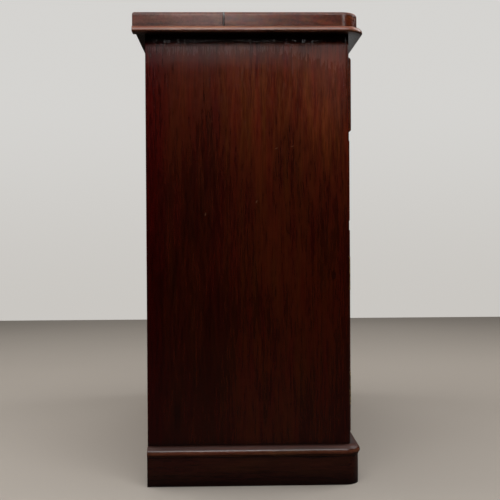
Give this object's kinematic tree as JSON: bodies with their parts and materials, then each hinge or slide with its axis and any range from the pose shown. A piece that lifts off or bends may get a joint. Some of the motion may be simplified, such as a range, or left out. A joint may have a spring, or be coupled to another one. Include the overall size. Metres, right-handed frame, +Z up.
{
  "type": "chiffonier",
  "caption": "Low mahogany chiffonier: drawers over a panelled cupboard, thumb-moulded top with rounded front corners, moulded plinth.",
  "frame": {"origin": "on the floor under the middle: halfway across the width, and halfway between the drawer knobs' tips and the back edge of the top", "axes": "+Z up; the front with the drawers and doors faces -Y; +X is to the right for someone facing the front"},
  "size_m": [1.057, 0.4652, 0.935],
  "materials": {
    "mahogany": "french polish",
    "drawer_lining": "bare, aged",
    "pine": "bare, aged",
    "brass": "dulled"
  },
  "bodies": {
    "carcass": {"top_board_back": "mahogany", "top_board_front": "mahogany", "top_moulding_left": "mahogany", "top_moulding_front": "mahogany", "top_moulding_right": "mahogany", "plinth_left": "mahogany", "plinth_front": "mahogany", "plinth_right": "mahogany", "plinth_moulding_left": "mahogany", "plinth_moulding_front": "mahogany", "plinth_moulding_right": "mahogany", "left_side_board": "mahogany", "right_side_board": "mahogany", "left_facing": "mahogany", "right_facing": "mahogany", "frieze_rail": "mahogany", "upper_drawer_rail": "mahogany", "lower_drawer_rail": "mahogany", "drawer_partition": "mahogany", "bottom_board": "mahogany", "plinth_back": "pine", "plinth_blocks": "pine", "top_back_rail": "pine", "drawer_runners_and_kickers": "pine", "dust_panels": "pine", "back_boards": "pine", "cupboard_shelf": "pine", "shelf_bearers": "pine", "stop_blocks": "pine", "hinge_fixed_leaves": "brass"},
    "left_drawer": {"left_drawer_front": "mahogany", "left_drawer_knob": "mahogany", "left_drawer_left_side": "drawer_lining", "left_drawer_right_side": "drawer_lining", "left_drawer_back": "drawer_lining", "left_drawer_bottom": "drawer_lining"},
    "right_drawer": {"right_drawer_front": "mahogany", "right_drawer_knob": "mahogany", "right_drawer_left_side": "drawer_lining", "right_drawer_right_side": "drawer_lining", "right_drawer_back": "drawer_lining", "right_drawer_bottom": "drawer_lining"},
    "long_drawer": {"long_drawer_front": "mahogany", "long_drawer_knobs": "mahogany", "long_drawer_left_side": "drawer_lining", "long_drawer_right_side": "drawer_lining", "long_drawer_back": "drawer_lining", "long_drawer_bottom": "drawer_lining"},
    "left_door": {"left_door_stiles": "mahogany", "left_door_rails": "mahogany", "left_door_panel": "mahogany", "left_door_hinges": "brass", "left_door_bolt_plate": "brass"},
    "right_door": {"right_door_stiles": "mahogany", "right_door_rails": "mahogany", "right_door_panel": "mahogany", "right_door_hinges": "brass", "right_door_knob": "mahogany", "right_door_lock": "brass"},
    "left_door_bolt": {"left_door_bolt": "brass"}
  },
  "joints": [
    {"name": "left_drawer_slide", "type": "slide", "parent": "carcass", "child": "left_drawer", "axis": [0, -1, 0], "range_m": [0, 0.26]},
    {"name": "right_drawer_slide", "type": "slide", "parent": "carcass", "child": "right_drawer", "axis": [0, -1, 0], "range_m": [0, 0.26]},
    {"name": "long_drawer_slide", "type": "slide", "parent": "carcass", "child": "long_drawer", "axis": [0, -1, 0], "range_m": [0, 0.26]},
    {"name": "left_door_hinge", "type": "hinge", "parent": "carcass", "child": "left_door", "pos_m": [-0.4795, -0.1966, 0.30175], "axis": [0, 0, -1], "range_deg": [0, 135]},
    {"name": "right_door_hinge", "type": "hinge", "parent": "carcass", "child": "right_door", "pos_m": [0.4795, -0.1966, 0.30175], "axis": [0, 0, 1], "range_deg": [0, 135]},
    {"name": "left_door_bolt_slide", "type": "slide", "parent": "left_door", "child": "left_door_bolt", "axis": [0, 0, 1], "range_m": [0, 0.012]}
  ]
}
